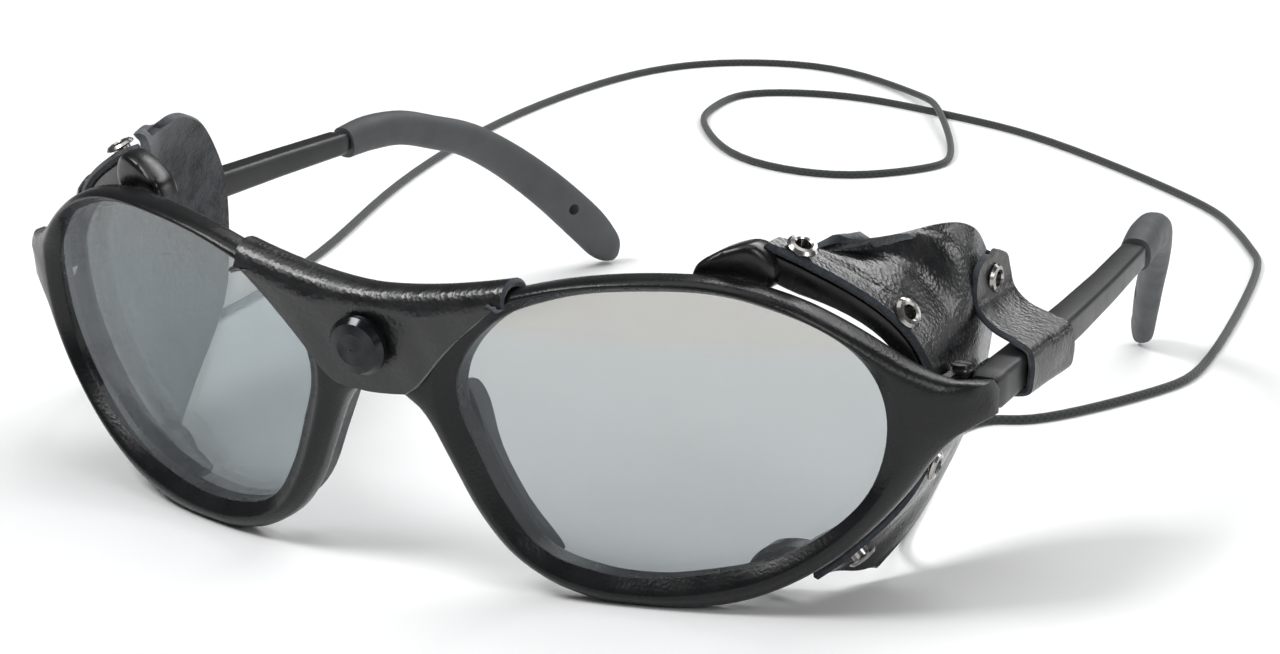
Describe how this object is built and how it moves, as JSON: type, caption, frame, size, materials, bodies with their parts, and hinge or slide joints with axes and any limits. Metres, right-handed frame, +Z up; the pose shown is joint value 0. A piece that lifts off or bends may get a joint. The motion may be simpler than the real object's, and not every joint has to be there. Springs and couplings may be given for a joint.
{
  "type": "glacier glasses",
  "caption": "Wraparound glacier glasses: moulded front, tinted lenses, leather bridge cover and riveted side shields, folding temples with rubber tips, and a thin retainer cord.",
  "frame": {"origin": "on the plane that the rims and temple tips rest on, below the middle of the glasses without their cord", "axes": "+X towards the wearer's left, +Y from the front towards the temple tips, +Z up"},
  "size_m": [0.1872, 0.2956, 0.0492],
  "materials": {
    "frame": "satin black moulded plastic with a fine pebbled skin",
    "carrier": "smooth semi-gloss black plastic",
    "temple": "satin dark grey plastic, edges worn lighter",
    "pad": "matte dark grey plastic",
    "lens": "neutral grey tint with a light silver mirror flash",
    "bridge_leather": "glossy black grain leather with grey cut edges",
    "shield_leather": "glossy creased black leather outside, grey suede inside",
    "strap_leather": "glossy black leather with grey cut edges",
    "nickel": "bright nickel plate",
    "snap_black": "polished black gunmetal",
    "steel": "drawn steel wire",
    "rubber": "soft dark grey rubber, matte",
    "cord": "thin round charcoal cord"
  },
  "bodies": {
    "front": {"front_frame": "frame", "lens_left": "lens", "lens_right": "lens", "nose_pad_left": "pad", "nose_pad_right": "pad", "bridge_cover": "bridge_leather", "snap_cap": "snap_black", "snap_socket": "nickel", "snap_stud": "nickel", "snap_post": "nickel", "shield_carrier_left": "carrier", "shield_carrier_right": "carrier", "side_shield_left": "shield_leather", "side_shield_right": "shield_leather", "shield_eyelets_left": "nickel", "shield_eyelets_right": "nickel", "hinge_leaf_left": "nickel", "hinge_leaf_right": "nickel", "hinge_screw_left": "nickel", "hinge_screw_right": "nickel", "cord": "cord", "cord_knots": "cord"},
    "temple_left": {"temple_bar_left": "temple", "temple_leaf_left": "nickel", "leaf_rivets_left": "nickel", "core_wire_left": "steel", "temple_tip_left": "rubber", "strap_left": "strap_leather", "strap_eyelets_left": "nickel"},
    "temple_right": {"temple_bar_right": "temple", "temple_leaf_right": "nickel", "leaf_rivets_right": "nickel", "core_wire_right": "steel", "temple_tip_right": "rubber", "strap_right": "strap_leather", "strap_eyelets_right": "nickel"}
  },
  "joints": [
    {"name": "temple_left_fold", "type": "hinge", "parent": "front", "child": "temple_left", "pos_m": [0.0674, -0.0408, 0.0286], "axis": [0, 0, 1], "range_deg": [0, 76], "deforming": ["side_shield_left"]},
    {"name": "temple_right_fold", "type": "hinge", "parent": "front", "child": "temple_right", "pos_m": [-0.0674, -0.0408, 0.0286], "axis": [0, 0, -1], "range_deg": [0, 68], "deforming": ["side_shield_right"]}
  ]
}
